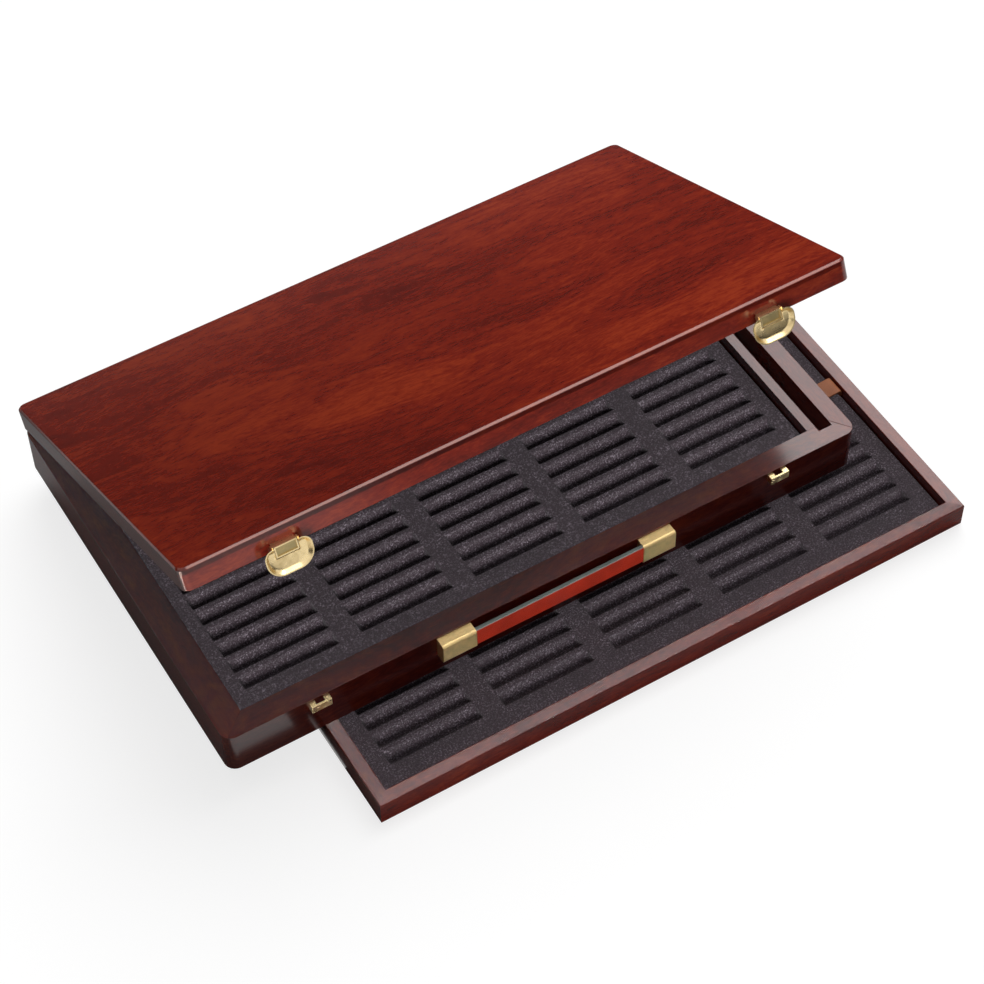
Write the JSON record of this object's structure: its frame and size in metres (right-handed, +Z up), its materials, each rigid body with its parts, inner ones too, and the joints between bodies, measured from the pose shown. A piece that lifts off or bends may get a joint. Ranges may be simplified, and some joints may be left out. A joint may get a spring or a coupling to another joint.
{
  "type": "pastel stick box",
  "caption": "Lacquered wooden two-layer box for pastel sticks: a hinged-lid case with slotted foam and a pencil trough, standing on a loose slotted tray pulled out below.",
  "frame": {"origin": "on the surface the part stands on, under the middle of the case", "axes": "+X to the right along the case's front, +Y to the back, +Z up"},
  "size_m": [0.544, 0.388, 0.2014],
  "materials": {
    "wood": "gloss",
    "foam": "matte",
    "liner": "matte",
    "brass": "polished",
    "steel": "satin",
    "strap": "gloss",
    "tab": "satin"
  },
  "bodies": {
    "case": {"case_front_wall": "wood", "case_back_wall": "wood", "case_left_wall": "wood", "case_right_wall": "wood", "case_bottom": "wood", "pencil_trough": "wood", "case_foam": "foam", "keeper_left": "brass", "keeper_right": "brass", "handle_cap_left": "brass", "handle_cap_right": "brass", "handle_screws": "steel", "hinge_case_leaf_left": "brass", "hinge_case_leaf_right": "brass", "hinge_pin_left": "brass", "hinge_pin_right": "brass"},
    "lid": {"lid_front_rail": "wood", "lid_back_rail": "wood", "lid_left_rail": "wood", "lid_right_rail": "wood", "lid_panel": "wood", "lid_liner": "liner", "hinge_lid_leaf_left": "brass", "hinge_lid_leaf_right": "brass", "latch_bracket_left": "brass", "latch_bracket_right": "brass", "latch_pin_left": "brass", "latch_pin_right": "brass"},
    "latch_flap_left": {"latch_flap_left": "brass"},
    "latch_flap_right": {"latch_flap_right": "brass"},
    "strap": {"handle_strap": "strap"},
    "tray": {"tray_front_wall": "wood", "tray_back_wall": "wood", "tray_left_wall": "wood", "tray_right_wall": "wood", "tray_bottom": "wood", "tray_foam": "foam", "lift_tab_left": "tab", "lift_tab_right": "tab"}
  },
  "joints": [
    {"name": "lid_hinge", "type": "hinge", "parent": "case", "child": "lid", "pos_m": [0, 0.1568, 0.05745], "axis": [-1, 0, 0], "range_deg": [-24.6, 80.4]},
    {"name": "latch_left", "type": "hinge", "parent": "lid", "child": "latch_flap_left", "pos_m": [-0.1815, -0.1266, 0.19275], "axis": [-1, 0, 0], "range_deg": [0, 95]},
    {"name": "latch_right", "type": "hinge", "parent": "lid", "child": "latch_flap_right", "pos_m": [0.1815, -0.1266, 0.19275], "axis": [-1, 0, 0], "range_deg": [0, 95]},
    {"name": "handle_slide", "type": "slide", "parent": "case", "child": "strap", "axis": [1, 0, 0], "range_m": [-0.004, 0.004]},
    {"name": "tray_slide", "type": "slide", "parent": "case", "child": "tray", "axis": [0.5503, -0.835, 0], "range_m": [-0.10467, 0.035]}
  ]
}
